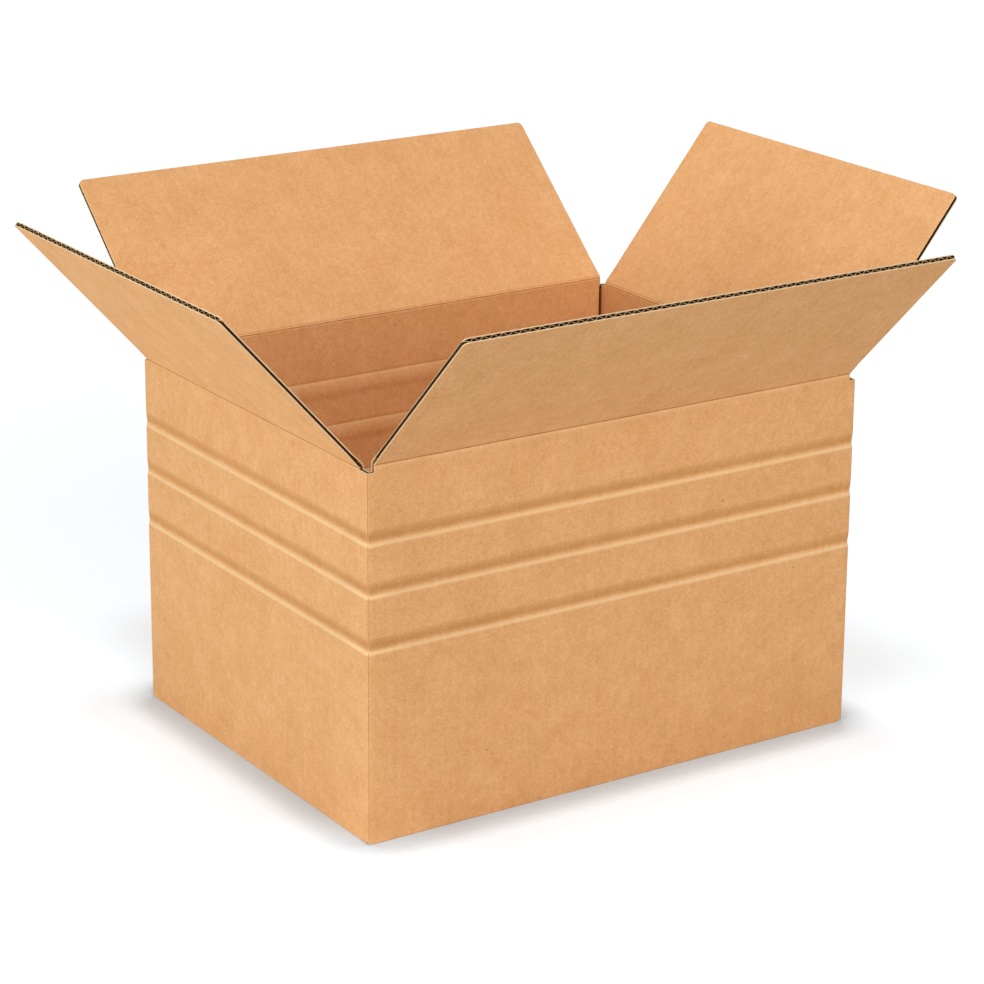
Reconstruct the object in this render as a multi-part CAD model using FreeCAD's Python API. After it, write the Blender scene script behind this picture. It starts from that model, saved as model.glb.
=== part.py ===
import FreeCAD, Part
import math
import os

# Multi-depth corrugated carton, standing open with its bottom closed. Millimetres.
# X runs along the long walls, Y towards the wall with the glued joint, Z up from the floor.

# Single-wall board: two liners with a fluted medium between them
BOARD = 4.0
LINER = 0.35
MEDIUM = 0.3
FLUTE_PITCH = 7.3
CREST_HALF = 0.5

# Erected size outside the walls, and the heights of the flap folds
LENGTH = 410.0
WIDTH = 316.0
END_FOLD = 266.0
LAYER_PLAY = 0.1
LONG_FOLD = END_FOLD + BOARD + LAYER_PLAY

# Rounding of the vertical folds and of the folds at the floor
EDGE_R = 2.5
FOOT_R = 1.5

# Horizontal score lines for cutting the carton down, measured below the end fold
SCORE_DROPS = (50.0, 86.5, 126.0)
GROOVE_DEPTH = 0.8
GROOVE_ABOVE = 6.0
GROOVE_BELOW = 2.0
RIDGE = 0.3

# Flaps, all of one length: the long ones leave a seam between them when they are closed.
# The slots between neighbouring flaps set their side edges in.
SEAM = 8.0
FLAP = (WIDTH - SEAM) / 2
LONG_INSET = 5.5
END_INSET = 8.0
LEFT_SHIFT = 2.5
TIP_R = 4.0
SLOT_DROP = 1.2

# Crushed crease between a wall and its top flap
CREASE_GAP = 0.2
CREASE_PLAY = 0.2

# How far each top flap leans outward from upright, in degrees
FRONT_LEAN = 45.0
LEFT_LEAN = 42.0
BACK_LEAN = 48.0
RIGHT_LEAN = 39.0

# Bottom closure
END_PLAY = 0.8
NOTCH = 3.5
NOTCH_HEIGHT = 1.8
TAPE = 0.1
TAPE_WIDTH = 48.0
TAPE_END = 10.0

# Glued joint: a tab off the right wall, on the outside of the back wall
TAB_WIDTH = 35.0
TAB_BOARD = 3.0
TAB_SINK = 1.0
TAB_FOOT = 8.0
TAB_DROP = 12.0
TAB_SLANT = 8.0
TAB_ROOT = 6.0
JOINT_GAP = 2.7

# Clear distance that cutting shapes run past what they cut
PAST = 1.0

HALF_L = LENGTH / 2
HALF_W = WIDTH / 2
V = FreeCAD.Vector


def box(x0, x1, y0, y1, z0, z1):
    return Part.makeBox(x1 - x0, y1 - y0, z1 - z0, V(x0, y0, z0))


def prism(points, run):
    wire = Part.makePolygon(points + [points[0]])
    return Part.Face(wire).extrude(run)


def loft(wires):
    return Part.makeLoft(wires, True, True)


def outline_wire(z, inset):
    # rounded rectangle of the walls' outer faces
    x = HALF_L - inset
    y = HALF_W - inset
    r = EDGE_R - inset
    k = r * (1 - math.sqrt(0.5))
    edges = [
        Part.makeLine(V(-x + r, -y, z), V(x - r, -y, z)),
        Part.Arc(V(x - r, -y, z), V(x - k, -y + k, z), V(x, -y + r, z)).toShape(),
        Part.makeLine(V(x, -y + r, z), V(x, y - r, z)),
        Part.Arc(V(x, y - r, z), V(x - k, y - k, z), V(x - r, y, z)).toShape(),
        Part.makeLine(V(x - r, y, z), V(-x + r, y, z)),
        Part.Arc(V(-x + r, y, z), V(-x + k, y - k, z), V(-x, y - r, z)).toShape(),
        Part.makeLine(V(-x, y - r, z), V(-x, -y + r, z)),
        Part.Arc(V(-x, -y + r, z), V(-x + k, -y + k, z), V(-x + r, -y, z)).toShape(),
    ]
    return Part.Wire(edges)


def cavity_wire(z, inset):
    # rectangle of the walls' inner faces
    x = HALF_L - BOARD - inset
    y = HALF_W - BOARD - inset
    corners = [V(-x, -y, z), V(x, -y, z), V(x, y, z), V(-x, y, z)]
    return Part.makePolygon(corners + [corners[0]])


def tab_wire(z, inset):
    # the right wall's end, bent round the back corner into the glued tab
    x = HALF_L - inset
    y = HALF_W + TAB_BOARD - inset
    r = EDGE_R - inset
    k = r * (1 - math.sqrt(0.5))
    root = HALF_W - TAB_ROOT
    seat = HALF_W - TAB_SINK
    free = HALF_L - TAB_WIDTH
    wall = HALF_L - BOARD
    edges = [
        Part.makeLine(V(x, root, z), V(x, y - r, z)),
        Part.Arc(V(x, y - r, z), V(x - k, y - k, z), V(x - r, y, z)).toShape(),
        Part.makeLine(V(x - r, y, z), V(free, y, z)),
        Part.makeLine(V(free, y, z), V(free, seat, z)),
        Part.makeLine(V(free, seat, z), V(wall, seat, z)),
        Part.makeLine(V(wall, seat, z), V(wall, root, z)),
        Part.makeLine(V(wall, root, z), V(x, root, z)),
    ]
    return Part.Wire(edges)


def scored(start, end, depth):
    # heights and insets of a face from start to end, with every score line in it
    levels = list(start)
    for drop in reversed(SCORE_DROPS):
        z = END_FOLD - drop
        levels.append((z - GROOVE_BELOW, 0.0))
        levels.append((z, depth))
        levels.append((z + GROOVE_ABOVE, 0.0))
    levels.append((end, 0.0))
    return levels


def make_walls():
    foot = [(0.0, FOOT_R), (FOOT_R * 0.3, FOOT_R * 0.3), (FOOT_R, 0.0)]
    outer = [outline_wire(z, i) for z, i in scored(foot, LONG_FOLD, GROOVE_DEPTH)]
    inner = [cavity_wire(z, i) for z, i in scored([(-PAST, 0.0)], LONG_FOLD + PAST, RIDGE)]
    return loft(outer).cut(loft(inner))


def make_tab():
    top = LONG_FOLD - TAB_DROP
    tab = loft([tab_wire(z, i) for z, i in scored([(TAB_FOOT, 0.0)], top, GROOVE_DEPTH)])
    y0 = HALF_W
    run = V(0, TAB_BOARD + PAST, 0)
    free = HALF_L - TAB_WIDTH
    bend = HALF_L - EDGE_R
    upper = [V(free - PAST, y0, top + PAST), V(free - PAST, y0, top - TAB_SLANT), V(bend, y0, top),
             V(bend, y0, top + PAST)]
    lower = [V(free - PAST, y0, TAB_FOOT - PAST), V(free - PAST, y0, TAB_FOOT + TAB_SLANT),
             V(bend, y0, TAB_FOOT), V(bend, y0, TAB_FOOT - PAST)]
    return tab.cut(prism(upper, run)).cut(prism(lower, run))


def end_inset(side_x, side_y):
    # slot width on an end wall at one corner; the left flap is cut off register
    if side_x < 0:
        return END_INSET - side_y * LEFT_SHIFT
    return END_INSET


def crease_tools():
    # shapes that bevel the walls' top edges and sink the slots between the flaps
    tools = []
    over = LONG_FOLD + PAST
    reach = BOARD + PAST
    for s in (-1, 1):
        y = s * HALF_W
        crest = y - s * CREASE_GAP
        inside = y - s * reach
        foot = LONG_FOLD - (reach - CREASE_GAP)
        x0 = -HALF_L + LONG_INSET
        shape = [V(x0, crest, LONG_FOLD), V(x0, inside, foot), V(x0, inside, over), V(x0, crest, over)]
        tools.append(prism(shape, V(2 * (HALF_L - LONG_INSET), 0, 0)))

        x = s * HALF_L
        out = x + s * PAST
        crest = x - s * CREASE_GAP
        inside = x - s * reach
        foot = END_FOLD - (reach - CREASE_GAP)
        y0 = -HALF_W + end_inset(s, -1)
        y1 = HALF_W - end_inset(s, 1)
        shape = [V(out, y0, END_FOLD), V(crest, y0, END_FOLD), V(inside, y0, foot),
                 V(inside, y0, over), V(out, y0, over)]
        tools.append(prism(shape, V(0, y1 - y0, 0)))

        for t in (-1, 1):
            xs = sorted((s * (HALF_L - LONG_INSET), s * (HALF_L + PAST)))
            ys = sorted((t * (HALF_W - end_inset(s, t)), t * (HALF_W + PAST)))
            tools.append(box(xs[0], xs[1], ys[0], ys[1], END_FOLD - SLOT_DROP, over))
    return tools


def make_bottom():
    # long flaps against the floor, end flaps on top of them inside
    plates = []
    x = HALF_L - BOARD - END_PLAY
    for s in (-1, 1):
        ys = sorted((s * (HALF_W - BOARD / 2), s * (HALF_W - FLAP)))
        plates.append(box(-x, x, ys[0], ys[1], 0.0, BOARD))
        xs = sorted((s * (HALF_L - BOARD / 2), s * (HALF_L - FLAP)))
        y = HALF_W - END_INSET
        plates.append(box(xs[0], xs[1], -y, y, BOARD, 2 * BOARD))
    return plates


def bottom_notches():
    notches = []
    for s in (-1, 1):
        for t in (-1, 1):
            xs = sorted((s * (HALF_L - NOTCH), s * (HALF_L + PAST)))
            ys = sorted((t * (HALF_W - NOTCH), t * (HALF_W + PAST)))
            notches.append(box(xs[0], xs[1], ys[0], ys[1], -PAST, NOTCH_HEIGHT))
    return notches


def make_tape():
    x = HALF_L - TAPE_END
    y = TAPE_WIDTH / 2
    return box(-x, x, -y, y, 0.0, TAPE)


def make_body(tape):
    body = make_walls().fuse(make_bottom() + [make_tab()])
    wall = HALF_L - BOARD
    seat = HALF_W - TAB_SINK
    joint = box(wall - JOINT_GAP, wall, HALF_W - BOARD - PAST, seat, 2 * BOARD, LONG_FOLD + PAST)
    body = body.cut(crease_tools() + bottom_notches() + [joint, tape])
    return body.removeSplitter()


def flute_section(width):
    # board seen along the flutes: u along the fold, v from the outer to the inner liner
    count = round(width / FLUTE_PITCH)
    half = width / count / 2
    top = BOARD - LINER
    crest = top - MEDIUM
    trough = LINER + MEDIUM
    rise = crest - LINER
    slant = MEDIUM
    for _ in range(8):
        run = half - slant - 2 * CREST_HALF
        slant = MEDIUM * math.hypot(run, rise) / rise
    foot = half - slant - CREST_HALF
    e = width / 2

    # rim with a half flute open at each side edge
    rim = [V(-e, 0, 0), V(e, 0, 0), V(e, LINER, 0), V(e - foot, LINER, 0),
           V(e - CREST_HALF, crest, 0), V(e, crest, 0), V(e, BOARD, 0), V(-e, BOARD, 0),
           V(-e, crest, 0), V(-e + CREST_HALF, crest, 0), V(-e + foot, LINER, 0), V(-e, LINER, 0)]
    wires = [Part.makePolygon(rim + [rim[0]])]
    for n in range(1, 2 * count):
        u = -e + n * half
        if n % 2:
            flute = [V(u - foot, top, 0), V(u - CREST_HALF, trough, 0),
                     V(u + CREST_HALF, trough, 0), V(u + foot, top, 0)]
        else:
            flute = [V(u - foot, LINER, 0), V(u + foot, LINER, 0),
                     V(u + CREST_HALF, crest, 0), V(u - CREST_HALF, crest, 0)]
        wires.append(Part.makePolygon(flute + [flute[0]]))
    return Part.Face(wires, "Part::FaceMakerBullseye")


def make_flap(width):
    # upright flap with its fold on the X axis and its outer face towards -Y
    flap = flute_section(width).extrude(V(0, 0, FLAP))
    e = width / 2
    rise = CREASE_GAP + CREASE_PLAY
    reach = BOARD + PAST
    bevel = [V(-e - PAST, -PAST, -PAST), V(-e - PAST, -PAST, rise), V(-e - PAST, 0, rise),
             V(-e - PAST, reach, rise + reach), V(-e - PAST, reach, -PAST)]
    tools = [prism(bevel, V(width + 2 * PAST, 0, 0))]
    for s in (-1, 1):
        corner = V(s * (e - TIP_R), -PAST, FLAP - TIP_R)
        xs = sorted((s * (e - TIP_R), s * (e + PAST)))
        block = box(xs[0], xs[1], -PAST, reach, FLAP - TIP_R, FLAP + PAST)
        tools.append(block.cut(Part.makeCylinder(TIP_R, reach + 2 * PAST, corner, V(0, 1, 0))))
    return flap.cut(tools)


def place_flap(flap, turn, across, fold, lean, shift):
    # lean the flap outward about its fold and set it on the wall that faces turn
    flap = flap.copy()
    flap.translate(V(shift, 0, 0))
    flap.rotate(V(0, 0, 0), V(1, 0, 0), lean)
    flap.translate(V(0, -across, fold))
    flap.rotate(V(0, 0, 0), V(0, 0, 1), turn)
    return flap


long_flap = make_flap(LENGTH - 2 * LONG_INSET)
end_flap = make_flap(WIDTH - 2 * END_INSET)
tape = make_tape()

nodes = {
    "box_body": make_body(tape),
    "bottom_tape": tape,
    "front_flap": place_flap(long_flap, 0, HALF_W, LONG_FOLD, FRONT_LEAN, 0.0),
    "left_flap": place_flap(end_flap, -90, HALF_L, END_FOLD, LEFT_LEAN, -LEFT_SHIFT),
    "back_flap": place_flap(long_flap, 180, HALF_W, LONG_FOLD, BACK_LEAN, 0.0),
    "right_flap": place_flap(end_flap, 90, HALF_L, END_FOLD, RIGHT_LEAN, 0.0),
}

os.makedirs("parts", exist_ok=True)
for name, shape in nodes.items():
    shape.exportStep("parts/" + name + ".step")
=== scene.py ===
import bmesh
import bpy
import math
from mathutils import Matrix, Vector


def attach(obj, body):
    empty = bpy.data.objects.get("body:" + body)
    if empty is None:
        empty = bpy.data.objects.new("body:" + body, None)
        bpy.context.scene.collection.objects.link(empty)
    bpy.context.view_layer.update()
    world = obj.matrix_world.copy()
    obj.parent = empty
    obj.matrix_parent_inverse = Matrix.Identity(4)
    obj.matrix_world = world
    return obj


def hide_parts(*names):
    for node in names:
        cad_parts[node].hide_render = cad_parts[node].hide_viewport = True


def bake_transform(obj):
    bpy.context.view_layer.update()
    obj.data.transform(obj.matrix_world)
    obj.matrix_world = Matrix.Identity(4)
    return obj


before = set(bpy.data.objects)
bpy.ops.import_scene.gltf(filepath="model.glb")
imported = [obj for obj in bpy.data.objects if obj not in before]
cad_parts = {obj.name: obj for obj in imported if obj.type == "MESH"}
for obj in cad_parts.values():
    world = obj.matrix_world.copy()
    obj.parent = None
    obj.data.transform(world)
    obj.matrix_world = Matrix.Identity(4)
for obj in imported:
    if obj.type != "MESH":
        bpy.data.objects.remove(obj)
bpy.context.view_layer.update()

# Metres from here on; MM turns a size in millimetres into metres.
MM = 0.001

# Board: two liners and a fluted medium, both drawn thicker than the solids have them, as the
# photograph's cut edges show them. The crests of the medium sink into the liners by GLUE.
BOARD = 4.0 * MM
LINER = 0.75 * MM
MEDIUM = 0.45 * MM
FLUTE_PITCH = 7.3 * MM
GLUE = 0.03 * MM
# The knives that cut the slots press each face of the board in by PINCH, in equal steps at
# these distances from the side edge. It starts this far above the crease.
PINCH = 0.4 * MM
PINCH_REACH = (3.0 * MM, 1.6 * MM, 0.3 * MM)
PINCH_START = 8.0 * MM
# The open core reaches this far down from the top of the walls.
CORE_DEPTH = 3.0 * MM

# The carton, as its solids have it.
LENGTH = 410.0 * MM
WIDTH = 316.0 * MM
END_FOLD = 266.0 * MM
LAYER_PLAY = 0.1 * MM
SLOT_DROP = 1.2 * MM
LONG_FOLD = END_FOLD + BOARD + LAYER_PLAY
WALL_TOP = END_FOLD - SLOT_DROP
SEAM = 8.0 * MM
FLAP = (WIDTH - SEAM) / 2
TIP_R = 4.0 * MM
LONG_INSET = 5.5 * MM
END_INSET = 8.0 * MM
LEFT_SHIFT = 2.5 * MM
HALF_L = LENGTH / 2
HALF_W = WIDTH / 2

# Rounding of the upright folds and of the folds at the floor, sharper than on the solids.
EDGE_R = 1.3 * MM
FOOT_R = 1.2 * MM

# Outward lean of each top flap from upright, in degrees.
FRONT_LEAN = 45.0
LEFT_LEAN = 42.0
BACK_LEAN = 48.0
RIGHT_LEAN = 39.0

# Score lines below the end fold. Each row of the profile is a height above the line and the groove's
# depth there, both in millimetres, and how much painted highlight (above 0) or painted shade (below 0)
# the liner gets there: painted light on the lip and painted shade in the groove.
SCORE_DROPS = (50.0 * MM, 86.5 * MM, 126.0 * MM)
SCORE_PROFILE = (
    (11.0, 0.0, 0.0), (10.0, 0.0, 0.0), (8.2, 0.15, -0.45), (6.2, 0.5, -0.75), (4.4, 0.95, -0.95),
    (2.8, 1.3, -0.9), (1.5, 1.48, -0.5), (0.6, 1.5, 0.0), (-0.2, 1.25, 0.7), (-1.1, 0.75, 1.35),
    (-2.0, 0.28, 1.3), (-2.8, 0.03, 0.35), (-3.6, 0.0, 0.0), (-5.0, 0.0, 0.0),
)
# Inside, the board bulges: it leaves the wall at a crease above the line and comes back below it. Its
# third column paints shade above the crease, a highlight just below it and a little shade under the
# bulge.
BULGE_PROFILE = (
    (12.5, 0.0, 0.0), (11.0, 0.0, -0.35), (9.9, -0.06, -0.8), (9.2, 0.08, 0.9), (8.3, 0.3, 0.5),
    (6.0, 0.55, 0.25), (3.0, 0.78, 0.1), (0.0, 0.85, 0.0), (-2.5, 0.5, -0.2), (-4.8, 0.1, -0.1),
    (-6.5, 0.0, 0.0),
)
# The grooves flatten out over this distance from a fold, to this share of their depth.
FOLD_FADE = 5.0 * MM
FOLD_SHARE = 0.35
# The upright folds and the slit at the glued joint get this much painted shade.
FOLD_PAINTED_SHADE = -2.2
# How strongly full painted highlight pales the liner, and full painted shade darkens it.
HIGHLIGHT_SHARE = 0.6
SHADE_SHARE = 0.42

# Creases: how far the liner strips reach above the fold.
CREASE_REACH = 5.0 * MM

# Bottom closure and glued tab.
END_PLAY = 0.8 * MM
NOTCH = 3.5 * MM
NOTCH_HEIGHT = 1.8 * MM
TAPE = 0.1 * MM
TAPE_WIDTH = 48.0 * MM
TAPE_END = 10.0 * MM
TAB_WIDTH = 35.0 * MM
TAB_BOARD = 3.0 * MM
TAB_SINK = 1.0 * MM
TAB_FOOT = 8.0 * MM
TAB_DROP = 12.0 * MM
TAB_TOP = LONG_FOLD - TAB_DROP
TAB_SLANT = 8.0 * MM
JOINT_GAP = 2.7 * MM

# Clear distance that a cutting block runs past what it cuts, and the tolerances of the tests
# that pick vertices and faces by their place.
PAST = 1.0 * MM
NEAR = 0.02 * MM
SLACK = 0.1 * MM

# Where the middle of each wall lies on the flat sheet, going round from the front wall.
FRONT_U = 0.0
LEFT_U = -(HALF_L + HALF_W)
BACK_U = -(LENGTH + WIDTH)
RIGHT_U = HALF_L + HALF_W
# The inside of the sheet takes its pattern from another part of the same paper.
INSIDE_U = 3.0


# Modelling steps

def deselect():
    if bpy.context.object and bpy.context.object.mode != "OBJECT":
        bpy.ops.object.mode_set(mode="OBJECT")
    bpy.ops.object.select_all(action="DESELECT")


def take(*objs):
    deselect()
    for obj in objs:
        obj.select_set(True)
    bpy.context.view_layer.objects.active = objs[0]


def edit(obj, mode):
    take(obj)
    bpy.ops.object.mode_set(mode="EDIT")
    bpy.ops.mesh.select_mode(type=mode)
    bpy.ops.mesh.select_all(action="DESELECT")


def done():
    bpy.ops.object.mode_set(mode="OBJECT")


def pick(obj, kind, test):
    # selects the vertices, edges or faces that pass the test, by the name of their list
    mesh = bmesh.from_edit_mesh(obj.data)
    for part in getattr(mesh, kind):
        part.select_set(bool(test(part)))
    bmesh.update_edit_mesh(obj.data)


def middle(part):
    return sum((v.co for v in part.verts), Vector()) / len(part.verts)


def near(a, b):
    return abs(a - b) < NEAR


def block(name, low, high):
    deselect()
    size = [b - a for a, b in zip(low, high)]
    place = [(a + b) / 2 for a, b in zip(low, high)]
    bpy.ops.mesh.primitive_cube_add(size=1, location=place, scale=size)
    obj = bpy.context.object
    obj.name = name
    bpy.ops.object.transform_apply(location=True, rotation=True, scale=True)
    return obj


def outline(name, points, run, steps=1):
    # a filled ring with one vertex at each point, extruded along run
    deselect()
    bpy.ops.mesh.primitive_circle_add(vertices=len(points), fill_type="NGON")
    obj = bpy.context.object
    obj.name = name
    for vertex, point in zip(obj.data.vertices, points):
        vertex.co = point
    edit(obj, "FACE")
    bpy.ops.mesh.select_all(action="SELECT")
    for _ in range(steps):
        bpy.ops.mesh.extrude_region_move(TRANSFORM_OT_translate={"value": Vector(run) / steps})
    bpy.ops.mesh.select_all(action="SELECT")
    bpy.ops.mesh.normals_make_consistent(inside=False)
    done()
    return obj


def cut_rings(obj, normal, places):
    # loops of edges all round the piece, at these distances along the normal
    edit(obj, "VERT")
    for place in places:
        bpy.ops.mesh.select_all(action="SELECT")
        bpy.ops.mesh.bisect(plane_co=Vector(normal) * place, plane_no=normal)
    done()


def trim(obj, point, normal):
    # removes what lies beyond the plane and closes the cut
    edit(obj, "VERT")
    bpy.ops.mesh.select_all(action="SELECT")
    bpy.ops.mesh.bisect(plane_co=point, plane_no=normal, use_fill=True, clear_outer=True)
    done()


def modify(obj, kind, **settings):
    take(obj)
    modifier = obj.modifiers.new(kind.lower(), kind)
    for key, value in settings.items():
        setattr(modifier, key, value)
    bpy.ops.object.modifier_apply(modifier=modifier.name)


def carve(obj, cutter):
    modify(obj, "BOOLEAN", operation="DIFFERENCE", object=cutter, solver="EXACT")
    bpy.data.objects.remove(cutter)


def soften(obj, degrees=35):
    take(obj)
    bpy.ops.object.shade_smooth_by_angle(angle=math.radians(degrees))


def finish_faces(obj, materials, which):
    # gives each face the material that which(middle, normal) names
    names = list(materials)
    obj.data.materials.clear()
    for name in names:
        obj.data.materials.append(materials[name])
    for face in obj.data.polygons:
        face.material_index = names.index(which(face.center, face.normal))


def painted_light(obj, amount):
    # how much painted highlight (to 1) or painted shade (to -1) the liner gets at each vertex
    layer = obj.data.attributes.get("painted_light") or obj.data.attributes.new("painted_light", "FLOAT", "POINT")
    for vertex in obj.data.vertices:
        layer.data[vertex.index].value = amount(vertex.co)


def map_sheet(obj, spot):
    # the place of each corner on the flat sheet, in metres
    layer = obj.data.uv_layers.get("sheet") or obj.data.uv_layers.new(name="sheet")
    obj.data.uv_layers.active = layer
    for face in obj.data.polygons:
        for loop in face.loop_indices:
            point = obj.data.vertices[obj.data.loops[loop].vertex_index].co
            layer.data[loop].uv = spot(point, face.center, face.normal)


def set_down(obj, turn, across, fold, lean=0.0, shift=0.0):
    # turns a piece made on the front wall's fold onto the wall that faces turn
    obj.matrix_world = (
        Matrix.Rotation(math.radians(turn), 4, "Z")
        @ Matrix.Translation((0, -across, fold))
        @ Matrix.Rotation(math.radians(lean), 4, "X")
        @ Matrix.Translation((shift, 0, 0))
    )
    take(obj)
    bpy.ops.object.transform_apply(location=True, rotation=True, scale=True)


# Materials

def colour(code):
    channels = [int(code[i:i + 2], 16) / 255 for i in (1, 3, 5)]
    linear = [c / 12.92 if c <= 0.04045 else ((c + 0.055) / 1.055) ** 2.4 for c in channels]
    return (*linear, 1.0)


def add(tree, kind, inputs=None, **settings):
    # one node with its settings; a socket among the inputs is linked, a value is set
    node = tree.nodes.new(kind)
    for key, value in settings.items():
        setattr(node, key, value)
    for key, value in (inputs or {}).items():
        if isinstance(value, bpy.types.NodeSocket):
            tree.links.new(value, node.inputs[key])
        else:
            node.inputs[key].default_value = value
    return node


def new_material(name):
    material = bpy.data.materials.new(name)
    material.use_nodes = True
    material.node_tree.nodes.clear()
    return material, material.node_tree


# Kraft linerboard, unbleached softwood pulp pressed on a paper machine. Seen close it has
# cloudy formation, short fibres lying across the flutes, a few dark and pale specks, and
# the faint print-through of the flutes behind it.
def kraft_liner(name, base, dark, pale, speck):
    material, tree = new_material(name)
    sheet = add(tree, "ShaderNodeUVMap", uv_map="sheet").outputs["UV"]
    parts = add(tree, "ShaderNodeSeparateXYZ", {"Vector": sheet})

    # clouds 25 mm and 6 mm across and fibres over 1 mm long, turned so that no streak of the
    # pattern runs along the sheet
    lay = add(tree, "ShaderNodeMapping", {"Vector": sheet, "Location": (0, 0, 8.5 * MM),
                                          "Rotation": (0, 0, 0.45)})
    place = lay.outputs["Vector"]
    clouds = add(tree, "ShaderNodeTexNoise", {"Vector": place, "Scale": 1 / (25 * MM), "Detail": 3.0})
    blots = add(tree, "ShaderNodeTexNoise", {"Vector": place, "Scale": 1 / (6 * MM), "Detail": 2.0})
    fibres = add(tree, "ShaderNodeTexNoise", {"Vector": place, "Scale": 1 / (1.3 * MM), "Detail": 4.0,
                                              "Roughness": 0.65})
    mottle = add(tree, "ShaderNodeMix", {"Factor": 0.5, "A": clouds.outputs["Fac"],
                                         "B": blots.outputs["Fac"]})
    grain = add(tree, "ShaderNodeMix", {"Factor": 0.6, "A": mottle.outputs["Result"],
                                        "B": fibres.outputs["Fac"]})
    shade = add(tree, "ShaderNodeValToRGB", {"Fac": grain.outputs["Result"]})
    ramp = shade.color_ramp
    ramp.elements[0].position, ramp.elements[0].color = 0.32, colour(dark)
    ramp.elements[1].position, ramp.elements[1].color = 0.68, colour(pale)
    ramp.elements.new(0.5).color = colour(base)

    # specks of bark and knots 0.6 to 1.2 mm across, a few to the square decimetre
    spots = add(tree, "ShaderNodeTexVoronoi", {"Vector": sheet, "Scale": 1 / (11 * MM),
                                               "Randomness": 1.0})
    spot_size = add(tree, "ShaderNodeSeparateColor", {"Color": spots.outputs["Color"]})
    reach = add(tree, "ShaderNodeMapRange", {"Value": spot_size.outputs["Red"], "From Min": 0.7,
                                             "From Max": 1.0, "To Min": 0.0, "To Max": 0.085})
    inside = add(tree, "ShaderNodeMath", {0: spots.outputs["Distance"], 1: reach.outputs["Result"]},
                 operation="LESS_THAN")
    faint = add(tree, "ShaderNodeMath", {0: inside.outputs["Value"], 1: 0.35}, operation="MULTIPLY")
    specked = add(tree, "ShaderNodeMix", {"Factor": faint.outputs["Value"], "A": shade.outputs["Color"],
                                          "B": colour(speck)}, data_type="RGBA")

    # the crushed lines and folds: painted shade in the valley, painted highlight on the lip
    light_paint = add(tree, "ShaderNodeAttribute", attribute_name="painted_light")
    highlight_amount = add(tree, "ShaderNodeMath", {0: light_paint.outputs["Fac"], 1: HIGHLIGHT_SHARE},
                operation="MULTIPLY", use_clamp=True)
    shade_amount = add(tree, "ShaderNodeMath", {0: light_paint.outputs["Fac"], 1: -SHADE_SHARE},
                  operation="MULTIPLY", use_clamp=True)
    # painted highlight: mixed towards this pale colour where the attribute is above 0
    highlighted = add(tree, "ShaderNodeMix", {"Factor": highlight_amount.outputs["Value"],
                                         "A": specked.outputs["Result"],
                                         "B": colour("#FFD8A4")}, data_type="RGBA")
    # painted shade: mixed towards this dark colour where the attribute is below 0
    highlighted_and_shaded = add(tree, "ShaderNodeMix", {"Factor": shade_amount.outputs["Value"],
                                          "A": highlighted.outputs["Result"],
                                          "B": colour("#B47018")}, data_type="RGBA")

    # flute lines at their real pitch, drawn a little stronger than they are so that they show
    turns = add(tree, "ShaderNodeMath", {0: parts.outputs["X"], 1: 2 * math.pi / FLUTE_PITCH},
                operation="MULTIPLY")
    wave = add(tree, "ShaderNodeMath", {0: turns.outputs["Value"]}, operation="SINE")
    washed = add(tree, "ShaderNodeMath", {0: wave.outputs["Value"], 1: 0.007, 2: 1.0},
                 operation="MULTIPLY_ADD")
    lined = add(tree, "ShaderNodeVectorMath", {0: highlighted_and_shaded.outputs["Result"]}, operation="SCALE")
    tree.links.new(washed.outputs["Value"], lined.inputs["Scale"])

    height = add(tree, "ShaderNodeMath", {0: wave.outputs["Value"], 1: 0.12, 2: fibres.outputs["Fac"]},
                 operation="MULTIPLY_ADD")
    bump = add(tree, "ShaderNodeBump", {"Height": height.outputs["Value"], "Strength": 0.5,
                                        "Distance": 0.12 * MM})
    paper = add(tree, "ShaderNodeBsdfPrincipled", {"Base Color": lined.outputs["Vector"],
                                                   "Roughness": 0.86, "IOR": 1.5,
                                                   "Normal": bump.outputs["Normal"]})
    paper.inputs["Specular IOR Level"].default_value = 0.2
    add(tree, "ShaderNodeOutputMaterial", {"Surface": paper.outputs["BSDF"]})
    return material


# Plain paper: the fluting medium, rougher and darker than the liners, and the liners' cut
# edges, where the pale torn fibres stand up.
def plain_paper(name, base, dark, size):
    material, tree = new_material(name)
    place = add(tree, "ShaderNodeTexCoord").outputs["Object"]
    fuzz = add(tree, "ShaderNodeTexNoise", {"Vector": place, "Scale": 1 / size, "Detail": 3.0})
    shade = add(tree, "ShaderNodeMix", {"Factor": fuzz.outputs["Fac"], "A": colour(dark),
                                        "B": colour(base)}, data_type="RGBA")
    bump = add(tree, "ShaderNodeBump", {"Height": fuzz.outputs["Fac"], "Strength": 0.5,
                                        "Distance": 0.1 * MM})
    paper = add(tree, "ShaderNodeBsdfPrincipled", {"Base Color": shade.outputs["Result"],
                                                   "Roughness": 0.95, "IOR": 1.5,
                                                   "Normal": bump.outputs["Normal"]})
    paper.inputs["Specular IOR Level"].default_value = 0.1
    add(tree, "ShaderNodeOutputMaterial", {"Surface": paper.outputs["BSDF"]})
    return material


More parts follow.
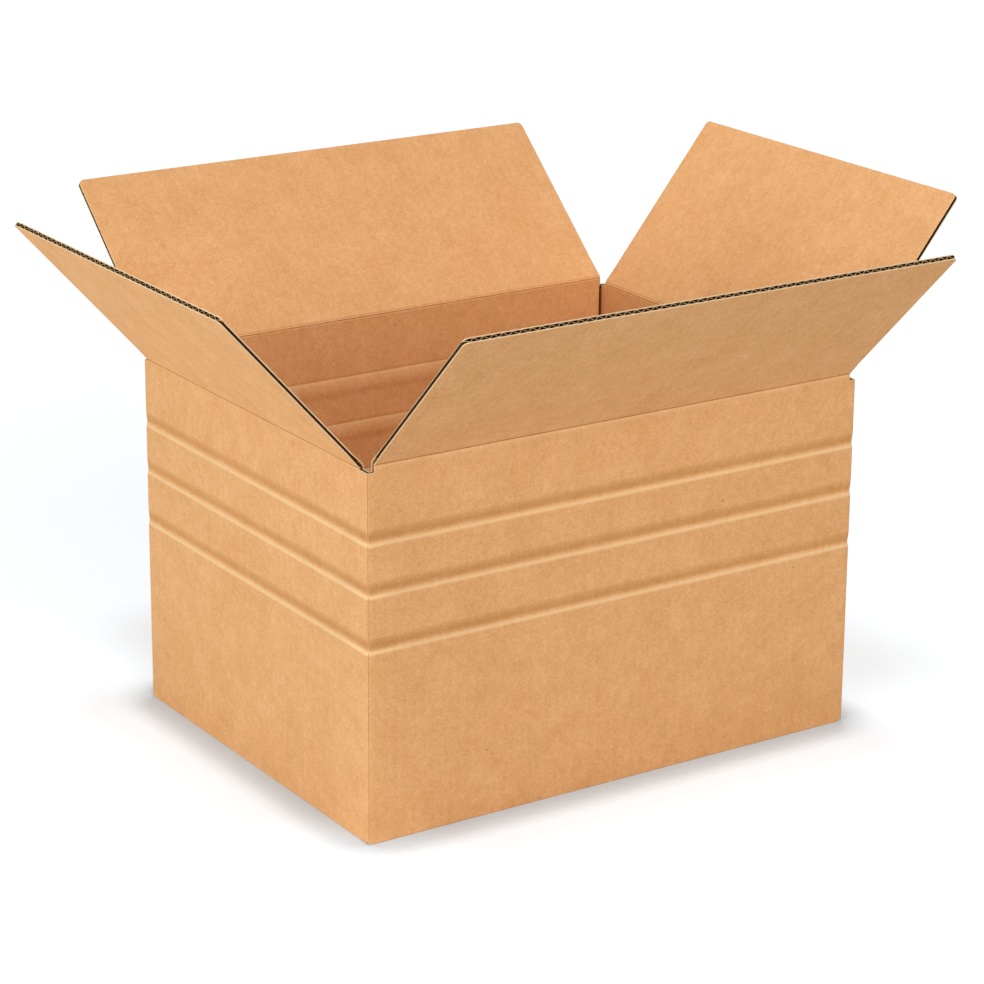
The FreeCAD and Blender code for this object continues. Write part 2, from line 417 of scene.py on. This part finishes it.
# Packing tape: clear tan polypropylene film on the kraft, with a soft gloss and fine
# lengthwise draw lines.
def packing_tape(name, base, dark):
    material, tree = new_material(name)
    place = add(tree, "ShaderNodeTexCoord").outputs["Object"]
    drawn = add(tree, "ShaderNodeMapping", {"Vector": place,
                                            "Scale": (1 / (60 * MM), 1 / (1.5 * MM), 1.0)})
    lines = add(tree, "ShaderNodeTexNoise", {"Vector": drawn.outputs["Vector"], "Scale": 1.0,
                                             "Detail": 2.0})
    shade = add(tree, "ShaderNodeMix", {"Factor": lines.outputs["Fac"], "A": colour(dark),
                                        "B": colour(base)}, data_type="RGBA")
    bump = add(tree, "ShaderNodeBump", {"Height": lines.outputs["Fac"], "Strength": 0.3,
                                        "Distance": 0.05 * MM})
    film = add(tree, "ShaderNodeBsdfPrincipled", {"Base Color": shade.outputs["Result"],
                                                  "Roughness": 0.28, "IOR": 1.49,
                                                  "Normal": bump.outputs["Normal"]})
    add(tree, "ShaderNodeOutputMaterial", {"Surface": film.outputs["BSDF"]})
    return material


KRAFT = kraft_liner("kraft_liner", "#EBB178", "#DC9D62", "#F8C490", "#8A5226")
# dark brown: partly the medium's own tone, partly painted shade for the gaps deep in the board, also on
# the liners' backs and the open core's floor
FLUTE_AND_SHADE = plain_paper("fluting_medium_and_shade", "#6B4526", "#4F3019", 1.5 * MM)
CUT = plain_paper("cut_liner_edge", "#F2D9B4", "#E2BF92", 0.6 * MM)
FILM = packing_tape("packing_tape", "#C99E66", "#BD9058")
TORN = plain_paper("cut_medium_edge", "#D2B184", "#AE8A5C", 0.6 * MM)
BOARD_FACES = {"kraft": KRAFT, "flute": FLUTE_AND_SHADE, "cut": CUT, "torn": TORN}


# Fluted board, made upright on the front wall's fold: X along the fold, Y from the outer
# liner to the inner one, Z up the flutes.

def make_liner(name, width, start, length, outer):
    y0 = 0.0 if outer else BOARD - LINER
    sheet = block(name, (-width / 2, y0, start), (width / 2, y0 + LINER, length))
    edit(sheet, "EDGE")
    pick(sheet, "edges", lambda e: near(middle(e).z, length) and near(abs(middle(e).x), width / 2))
    bpy.ops.mesh.bevel(offset=TIP_R, segments=5, affect="EDGES")
    done()
    face_out = -1 if outer else 1

    # pinched along both side edges
    cut_rings(sheet, (0, 0, 1), (start + PINCH_START,))
    for reach in PINCH_REACH:
        side = width / 2 - reach
        cut_rings(sheet, (1, 0, 0), (-side, side))
        edit(sheet, "VERT")
        pick(sheet, "verts", lambda v: abs(v.co.x) > side + NEAR and v.co.z > start + PINCH_START / 2)
        bpy.ops.transform.translate(value=(0, -face_out * PINCH / len(PINCH_REACH), 0))
        done()

    def which(centre, normal):
        if abs(normal.y) < 0.5:
            return "cut"
        return "kraft" if normal.y * face_out > 0 else "flute"

    finish_faces(sheet, BOARD_FACES, which)
    return sheet


def make_medium(name, width, start, length):
    count = round(width / FLUTE_PITCH)
    pitch = width / count
    swing = BOARD / 2 - LINER - MEDIUM / 2 + GLUE
    steps = 16
    upper, lower = [], []
    for n in range(steps + 1):
        angle = 2 * math.pi * n / steps
        y = BOARD / 2 + swing * math.cos(angle)
        slope = swing * math.sin(angle) * 2 * math.pi / pitch
        thick = MEDIUM / 2 * math.hypot(1, slope)
        x = -width / 2 + pitch * n / steps
        upper.append((x, y + min(thick, MEDIUM), start))
        lower.append((x, y - min(thick, MEDIUM), start))
    wave = outline(name, upper + lower[::-1], (0, 0, length - start))

    # one flute, its two end faces opened, repeated and closed again
    edit(wave, "FACE")
    ends = (-width / 2, -width / 2 + pitch)
    pick(wave, "faces", lambda f: abs(f.normal.x) > 0.99 and any(near(middle(f).x, e) for e in ends))
    bpy.ops.mesh.delete(type="FACE")
    done()
    modify(wave, "ARRAY", count=count, use_relative_offset=False, use_constant_offset=True,
           constant_offset_displace=(pitch, 0, 0), use_merge_vertices=True, merge_threshold=0.01 * MM)
    edit(wave, "FACE")
    bpy.ops.mesh.select_all(action="SELECT")
    bpy.ops.mesh.fill_holes(sides=0)
    bpy.ops.mesh.normals_make_consistent(inside=False)
    done()

    for side in (-1, 1):
        for degrees in (18, 45, 72):
            out = Vector((side * math.cos(math.radians(degrees)), 0, math.sin(math.radians(degrees))))
            centre = Vector((side * (width / 2 - TIP_R), 0, length - TIP_R))
            trim(wave, centre + out * TIP_R, out)
    finish_faces(wave, BOARD_FACES, lambda centre, normal: "torn" if abs(normal.z) > 0.2 else "flute")
    return wave


def make_panel(name, width, start, length, middle_u, fold):
    outer = make_liner(name, width, start, length, True)
    inner = make_liner("inner", width, start, length, False)
    medium = make_medium("medium", width, start, length)
    take(outer, inner, medium)
    bpy.ops.object.join()
    panel = bpy.context.object
    soften(panel, 40)

    def spot(point, centre, normal):
        aside = INSIDE_U if centre.y > BOARD / 2 else 0.0
        return (middle_u + point.x + aside, fold + point.z)

    map_sheet(panel, spot)
    return panel


# Creases: a strip of each liner across the fold, bent between the wall and its flap.

def along(lean, up, inward):
    # a point on a leaning flap, by its distance from the fold and in from the outer face
    a = math.radians(lean)
    return Vector((0, inward * math.cos(a) - up * math.sin(a), inward * math.sin(a) + up * math.cos(a)))


def make_strip(name, width, path, light_marks, thickness, steps, middle_u, fold, lean, inner):
    back = []
    for n, point in enumerate(path):
        before = path[max(n - 1, 0)]
        after = path[min(n + 1, len(path) - 1)]
        run = (after - before).normalized()
        side = Vector((0, run.z, -run.y))
        back.append(point + side * (-thickness if inner else thickness))
    points = [Vector((-width / 2, p.y, p.z)) for p in path + back[::-1]]
    strip = outline(name, points, (width, 0, 0), steps)
    finish_faces(strip, BOARD_FACES, lambda centre, normal: "cut" if abs(normal.x) > 0.5 else "kraft")
    soften(strip, 60)
    half = math.radians(lean) / 2
    up = along(lean, 1.0, 0.0)

    def spot(point, centre, normal):
        above = -centre.y * math.sin(half) + centre.z * math.cos(half) > 0
        height = point.y * up.y + point.z * up.z if above else point.z
        return (middle_u + point.x + (INSIDE_U if inner else 0.0), fold + height)

    def light_paint(point):
        gaps = [(point - Vector((point.x, p.y, p.z))).length for p in path]
        return light_marks[gaps.index(min(gaps))]

    map_sheet(strip, spot)
    painted_light(strip, light_paint)
    return strip


# how much painted highlight or painted shade each point of the two paths below gets
# painted highlight on the lips and painted shade in the valleys of the creases
OUTER_PAINTED_LIGHT = (0.0, 0.1, 0.7, 0.1, -2.3, -1.0, 0.1, 0.0, 0.0)
INNER_PAINTED_LIGHT = (0.0, 0.0, 0.5, -1.7, 0.4, 0.6, 0.4, -1.5, 0.5, 0.0, 0.0)


def outer_path(below, lean):
    # wall, a small lip, the pinched valley, a small lip, flap
    lip = min(0.9 * MM, below * 0.6)
    return [
        Vector((0, 0, -below)),
        Vector((0, -0.02 * MM, -(below + lip) / 2)),
        Vector((0, -0.14 * MM, -lip)),
        Vector((0, -0.08 * MM, -0.35 * MM)),
        Vector((0, 0.4 * MM, 0.0)),
        along(lean, 0.5 * MM, 0.05 * MM),
        along(lean, 1.0 * MM, -0.1 * MM),
        along(lean, 2.2 * MM, 0.0),
        along(lean, CREASE_REACH, 0.0),
    ]


def inner_path(below, lean):
    # wall, lip, pressed line, the ridge on the fold, pressed line, lip, flap
    rise = BOARD * math.tan(math.radians(lean) / 2)
    up = along(lean, 1.0, 0.0)
    out = along(lean, 0.0, -1.0)
    corner = Vector((0, BOARD, rise))
    deep = 0.5 * MM
    reach = min(2.2 * MM, (rise + below) * 0.8)
    return [
        Vector((0, BOARD, -below)),
        corner - Vector((0, 0, reach)),
        corner - Vector((0, -0.05 * MM, reach * 0.75)),
        corner - Vector((0, deep, reach * 0.5)),
        corner - Vector((0, 0.1 * MM, reach * 0.25)),
        corner + (out - Vector((0, 1, 0))) * 0.08 * MM,
        corner + up * 0.5 * MM + out * 0.1 * MM,
        corner + up * 1.0 * MM + out * deep,
        corner + up * 1.5 * MM - out * 0.05 * MM,
        corner + up * 2.2 * MM,
        along(lean, CREASE_REACH, BOARD),
    ]


def make_top_flap(name, turn, width, across, fold, lean, shift, middle_u):
    panel = make_panel(name + "_panel", width, CREASE_REACH, FLAP, middle_u, fold)
    set_down(panel, turn, across, fold, lean, shift)
    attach(panel, name)
    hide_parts(name)

    below = fold - WALL_TOP
    steps = round(width / (12 * MM))
    for side, path, light_marks in (("outer", outer_path(below, lean), OUTER_PAINTED_LIGHT),
                             ("inner", inner_path(below, lean), INNER_PAINTED_LIGHT)):
        strip = make_strip(name + "_crease_" + side, width, path, light_marks, LINER, steps, middle_u, fold,
                           lean, side == "inner")
        set_down(strip, turn, across, fold, 0.0, shift)
        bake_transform(strip)


make_top_flap("front_flap", 0, LENGTH - 2 * LONG_INSET, HALF_W, LONG_FOLD, FRONT_LEAN, 0.0, FRONT_U)
make_top_flap("left_flap", -90, WIDTH - 2 * END_INSET, HALF_L, END_FOLD, LEFT_LEAN, -LEFT_SHIFT, LEFT_U)
make_top_flap("back_flap", 180, LENGTH - 2 * LONG_INSET, HALF_W, LONG_FOLD, BACK_LEAN, 0.0, BACK_U)
make_top_flap("right_flap", 90, WIDTH - 2 * END_INSET, HALF_L, END_FOLD, RIGHT_LEAN, 0.0, RIGHT_U)


# The sheet's walls and its long bottom flaps

def press_scores(obj, half_x, half_y, profile):
    inner_x, inner_y = half_x - FOLD_FADE, half_y - FOLD_FADE
    cut_rings(obj, (1, 0, 0), (-inner_x, inner_x))
    cut_rings(obj, (0, 1, 0), (-inner_y, inner_y))
    rows = [END_FOLD - drop + height * MM for drop in SCORE_DROPS for height, _, _ in profile]
    cut_rings(obj, (0, 0, 1), rows)
    edit(obj, "VERT")
    for height, depth, _ in profile:
        if not depth:
            continue
        levels = [END_FOLD - drop + height * MM for drop in SCORE_DROPS]
        depth = depth * MM

        def at_level(v):
            return any(near(v.co.z, z) for z in levels)

        for side in (-1, 1):
            pick(obj, "verts", lambda v: at_level(v) and near(v.co.y, side * half_y)
                 and abs(v.co.x) < inner_x + SLACK)
            bpy.ops.transform.translate(value=(0, -side * depth, 0))
            pick(obj, "verts", lambda v: at_level(v) and near(v.co.x, side * half_x)
                 and abs(v.co.y) < inner_y + SLACK)
            bpy.ops.transform.translate(value=(-side * depth, 0, 0))
        pick(obj, "verts", lambda v: at_level(v) and abs(v.co.x) > inner_x + SLACK
             and abs(v.co.y) > inner_y + SLACK)
        size = (1 - FOLD_SHARE * depth / half_x, 1 - FOLD_SHARE * depth / half_y, 1)
        bpy.ops.transform.resize(value=size, center_override=(0, 0, 0))
    done()
    # the corner faces are twisted: as triangles they are flat, and the later cuts close
    modify(obj, "TRIANGULATE")


def score_painted_light(z, profile):
    for drop in SCORE_DROPS:
        for height, _, amount in profile:
            if near(z, END_FOLD - drop + height * MM):
                return amount
    return 0.0


def make_tape(name, low, high):
    # a strip over the seam, both ends cut by a toothed blade
    x, y = HALF_L - TAPE_END, TAPE_WIDTH / 2
    teeth, bite = 16, 1.5 * MM
    points = []
    for side in (-1, 1):
        for n in range(2 * teeth + 1):
            depth = bite if n % 2 else 0.0
            points.append(Vector((side * (x - depth), side * (-y + TAPE_WIDTH * n / (2 * teeth)), low)))
    return outline(name, points, (0, 0, high - low))


def make_walls():
    walls = block("folded_sheet", (-HALF_L, -HALF_W, 0), (HALF_L, HALF_W, WALL_TOP))
    edit(walls, "EDGE")
    pick(walls, "edges", lambda e: abs(e.verts[0].co.z - e.verts[1].co.z) > BOARD)
    bpy.ops.mesh.bevel(offset=EDGE_R, segments=4, affect="EDGES")
    pick(walls, "edges", lambda e: all(near(v.co.z, 0) for v in e.verts))
    bpy.ops.mesh.bevel(offset=FOOT_R, segments=3, affect="EDGES")
    done()
    cut_rings(walls, (0, 0, 1), (FOOT_R + 0.8 * MM,))
    press_scores(walls, HALF_L, HALF_W, SCORE_PROFILE)

    x, y = HALF_L - BOARD, HALF_W - BOARD
    cavity = block("cavity", (-x, -y, BOARD), (x, y, WALL_TOP + PAST))
    press_scores(cavity, x, y, BULGE_PROFILE)
    carve(walls, cavity)

    # the core between the liners, open along the top, where the slots show it
    rim = LINER + PINCH
    low, top = WALL_TOP - CORE_DEPTH, WALL_TOP + PAST
    core = block("core", (rim - HALF_L, rim - HALF_W, low), (HALF_L - rim, HALF_W - rim, top))
    carve(core, block("inside", (-x - rim, -y - rim, low - PAST), (x + rim, y + rim, top + PAST)))
    carve(walls, core)

    # the bed of the tape, the open joint inside the back corner, the bottom seam and the play at
    # its ends
    carve(walls, make_tape("tape_bed", -PAST, TAPE))
    carve(walls, block("joint", (x - JOINT_GAP, y - PAST, 2 * BOARD), (x, HALF_W - TAB_SINK, top)))
    plate = x - END_PLAY
    carve(walls, block("seam", (-plate, -SEAM / 2, -PAST), (plate, SEAM / 2, BOARD + PAST)))
    for side in (-1, 1):
        xs = sorted((side * plate, side * x))
        carve(walls, block("play", (xs[0], -y, -PAST), (xs[1], y, BOARD + PAST)))
        for other in (-1, 1):
            xs = sorted((side * (HALF_L - NOTCH), side * (HALF_L + PAST)))
            ys = sorted((other * (HALF_W - NOTCH), other * (HALF_W + PAST)))
            carve(walls, block("notch", (xs[0], ys[0], -PAST), (xs[1], ys[1], NOTCH_HEIGHT)))

    def spot(point, centre, normal):
        deep = min(HALF_L - abs(centre.x), HALF_W - abs(centre.y), centre.z)
        inside = deep > BOARD / 2
        aside = INSIDE_U if inside else 0.0
        if abs(normal.z) > 0.8:
            return (point.x + aside, point.y + WIDTH * 2)
        if abs(normal.x) > abs(normal.y):
            u = LEFT_U - point.y if centre.x < 0 else RIGHT_U + point.y
        else:
            u = point.x if centre.y < 0 else BACK_U - point.x
        return (u + aside, point.z)

    def which(centre, normal):
        if centre.z > low - SLACK and normal.z > 0.9:
            return "cut" if centre.z > WALL_TOP - SLACK else "flute"
        deep = min(HALF_L - abs(centre.x), HALF_W - abs(centre.y))
        if centre.z > low and rim - SLACK < deep < BOARD - rim + SLACK:
            return "flute"
        if centre.z < BOARD and abs(normal.y) > 0.9 and abs(centre.y) < SEAM:
            return "cut"
        return "kraft"

    def light_paint(point):
        # the outermost vertices of an upright fold carry its thin line of painted shade
        from_x, from_y = HALF_L - abs(point.x), HALF_W - abs(point.y)
        if abs(from_x - from_y) < 0.1 * EDGE_R and from_x < 0.5 * EDGE_R:
            return FOLD_PAINTED_SHADE
        # the slit at the glued joint gets painted shade, as the shade inside the gap
        if y + SLACK < point.y < HALF_W - TAB_SINK / 2 and x - JOINT_GAP - MM < point.x < x + MM:
            return FOLD_PAINTED_SHADE
        inside = min(from_x, from_y) > BOARD / 2
        return score_painted_light(point.z, BULGE_PROFILE if inside else SCORE_PROFILE)

    finish_faces(walls, BOARD_FACES, which)
    map_sheet(walls, spot)
    painted_light(walls, light_paint)
    soften(walls)
    return walls


def make_tab():
    # a board's thickness of the right wall, bent round the back corner and glued on outside
    x, y = HALF_L, HALF_W + TAB_BOARD
    free, seat = HALF_L - TAB_WIDTH, HALF_W - TAB_SINK
    points = [Vector((x, HALF_W - EDGE_R, TAB_FOOT))]
    for n in range(5):
        a = math.radians(90 * n / 4)
        round_x = x - EDGE_R + EDGE_R * math.cos(a)
        round_y = y - EDGE_R + EDGE_R * math.sin(a)
        points.append(Vector((round_x, round_y, TAB_FOOT)))
    for place in ((free, y), (free, seat), (x - BOARD, seat)):
        points.append(Vector((*place, TAB_FOOT)))
    tab = outline("glued_tab", points, (0, 0, TAB_TOP - TAB_FOOT))
    slope = Vector((TAB_SLANT, 0, TAB_WIDTH - EDGE_R)).normalized()
    bend = Vector((HALF_L - EDGE_R, 0, 0))
    trim(tab, bend + Vector((0, 0, TAB_TOP)), Vector((-slope.x, 0, slope.z)))
    trim(tab, bend + Vector((0, 0, TAB_FOOT)), Vector((-slope.x, 0, -slope.z)))
    press_scores(tab, HALF_L, y, SCORE_PROFILE)

    def which(centre, normal):
        return "cut" if normal.x < -0.5 or abs(normal.z) > 0.5 else "kraft"

    def spot(point, centre, normal):
        if abs(normal.x) > abs(normal.y):
            return (RIGHT_U + point.y, point.z)
        return (RIGHT_U + HALF_W + HALF_L - point.x, point.z)

    finish_faces(tab, BOARD_FACES, which)
    map_sheet(tab, spot)
    painted_light(tab, lambda point: score_painted_light(point.z, SCORE_PROFILE))
    soften(tab)
    return tab


walls = make_walls()
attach(walls, "carton")
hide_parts("box_body")

tab = make_tab()
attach(tab, "carton")

for name, turn, middle_u in (("bottom_end_flap_left", -90, LEFT_U),
                             ("bottom_end_flap_right", 90, RIGHT_U)):
    flap = make_panel(name, WIDTH - 2 * END_INSET, BOARD, FLAP, middle_u, 0.0)
    set_down(flap, turn, HALF_L, 2 * BOARD, -90.0)
    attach(flap, "carton")

tape = make_tape("tape_strip", 0.0, TAPE)
tape.data.materials.append(FILM)
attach(tape, "carton")
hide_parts("bottom_tape")


# Floor and backdrop: a white sheet that shows white to the camera and keeps the lamps' shadows, with a
# painted contact shadow along the foot of the box

FLOOR_SIZE = 12.0
CONTACT_REACH = 34.0 * MM


def seen_directly(tree):
    # 1 for rays that show the background: straight to the camera, in a reflection or through film
    rays = add(tree, "ShaderNodeLightPath").outputs
    mirrored = add(tree, "ShaderNodeMath", {0: rays["Is Glossy Ray"], 1: rays["Is Transmission Ray"]},
                   operation="MAXIMUM")
    return add(tree, "ShaderNodeMath", {0: rays["Is Camera Ray"], 1: mirrored.outputs["Value"]},
               operation="MAXIMUM").outputs["Value"]


def make_floor():
    deselect()
    bpy.ops.mesh.primitive_plane_add(size=FLOOR_SIZE, location=(0, 0, 0))
    floor = bpy.context.object
    floor.name = "floor"
    white, tree = new_material("white_floor")
    seen = seen_directly(tree)
    paint = add(tree, "ShaderNodeMix", {"Factor": seen, "A": colour("#EDF2F6"), "B": colour("#A8B0B8")},
                data_type="RGBA")
    matt = add(tree, "ShaderNodeBsdfDiffuse", {"Color": paint.outputs["Result"]})
    # painted contact shadow: the glow seen by the camera dims where ambient occlusion finds the box
    # within CONTACT_REACH
    contact = add(tree, "ShaderNodeAmbientOcclusion", {"Distance": CONTACT_REACH}, samples=6)
    shade = add(tree, "ShaderNodeMapRange", {"Value": contact.outputs["AO"], "From Min": 0.66,
                                             "From Max": 1.0, "To Min": 0.3, "To Max": 0.73},
                interpolation_type="SMOOTHSTEP")
    strength = add(tree, "ShaderNodeMath", {0: seen, 1: shade.outputs["Result"]}, operation="MULTIPLY")
    glow = add(tree, "ShaderNodeEmission", {"Color": colour("#FFFFFF"),
                                            "Strength": strength.outputs["Value"]})
    both = add(tree, "ShaderNodeAddShader", {0: matt.outputs["BSDF"], 1: glow.outputs["Emission"]})
    add(tree, "ShaderNodeOutputMaterial", {"Surface": both.outputs["Shader"]})
    floor.data.materials.append(white)


def make_world():
    world = bpy.data.worlds.new("studio")
    bpy.context.scene.world = world
    world.use_nodes = True
    tree = world.node_tree
    tree.nodes.clear()
    strength = add(tree, "ShaderNodeMapRange", {"Value": seen_directly(tree), "To Min": 0.1,
                                                "To Max": 1.0})
    sky = add(tree, "ShaderNodeBackground", {"Color": colour("#FFFFFF"),
                                             "Strength": strength.outputs["Result"]})
    add(tree, "ShaderNodeOutputWorld", {"Surface": sky.outputs["Background"]})


make_floor()
make_world()


# Lamps: a broad soft key facing the left wall, a soft fill from the front and one overhead

def towards(azimuth, elevation):
    # the direction from the object to a lamp or the camera; azimuth 0 is the front
    a, e = math.radians(azimuth), math.radians(elevation)
    return Vector((math.sin(a) * math.cos(e), -math.cos(a) * math.cos(e), math.sin(e)))


def add_sun(name, azimuth, elevation, strength, spread, tint):
    deselect()
    bpy.ops.object.light_add(type="SUN", location=(0, 0, 2))
    lamp = bpy.context.object
    lamp.name = name
    lamp.data.energy = strength
    lamp.data.color = colour(tint)[:3]
    lamp.data.angle = math.radians(spread)
    lamp.rotation_mode = "QUATERNION"
    lamp.rotation_quaternion = towards(azimuth, elevation).to_track_quat("Z", "Y")


add_sun("key", -88.0, 6.0, 2.12, 36.0, "#F9FFFF")
add_sun("fill", -8.0, 31.0, 1.44, 40.0, "#FFFBF6")
add_sun("overhead", -40.0, 82.0, 1.08, 12.0, "#FBFEFF")


# Camera, at the photograph's angle. Its axis meets the picture at CENTRE_PIXEL, and passes AIM
# metres to the right of the origin and above it, as the picture shows them.

CAMERA_AZIMUTH = -33.04
CAMERA_ELEVATION = 16.99
CAMERA_ROLL = 0.33
CAMERA_DISTANCE = 2.402
FOCAL_PIXELS = 3205.0
IMAGE = 984
CENTRE_PIXEL = (476.3, 399.9)
AIM = (-0.0135, 0.231)
SENSOR = 36.0


def add_camera():
    back = towards(CAMERA_AZIMUTH, CAMERA_ELEVATION)
    turn, roll = math.radians(CAMERA_AZIMUTH), math.radians(CAMERA_ROLL)
    level = Vector((math.cos(turn), math.sin(turn), 0))
    upright = back.cross(level)
    right = level * math.cos(roll) + upright * math.sin(roll)
    up = -level * math.sin(roll) + upright * math.cos(roll)
    deselect()
    bpy.ops.object.camera_add()
    camera = bpy.context.object
    camera.name = "camera"
    camera.location = right * AIM[0] + up * AIM[1] + back * CAMERA_DISTANCE
    camera.rotation_mode = "QUATERNION"
    camera.rotation_quaternion = Matrix((right, up, back)).transposed().to_quaternion()
    camera.data.sensor_width = SENSOR
    camera.data.lens = FOCAL_PIXELS * SENSOR / IMAGE
    camera.data.shift_x = (IMAGE / 2 - CENTRE_PIXEL[0]) / IMAGE
    camera.data.shift_y = (CENTRE_PIXEL[1] - IMAGE / 2) / IMAGE
    camera.data.clip_end = 20.0
    bpy.context.scene.camera = camera


add_camera()
bpy.context.scene.view_settings.view_transform = "Standard"
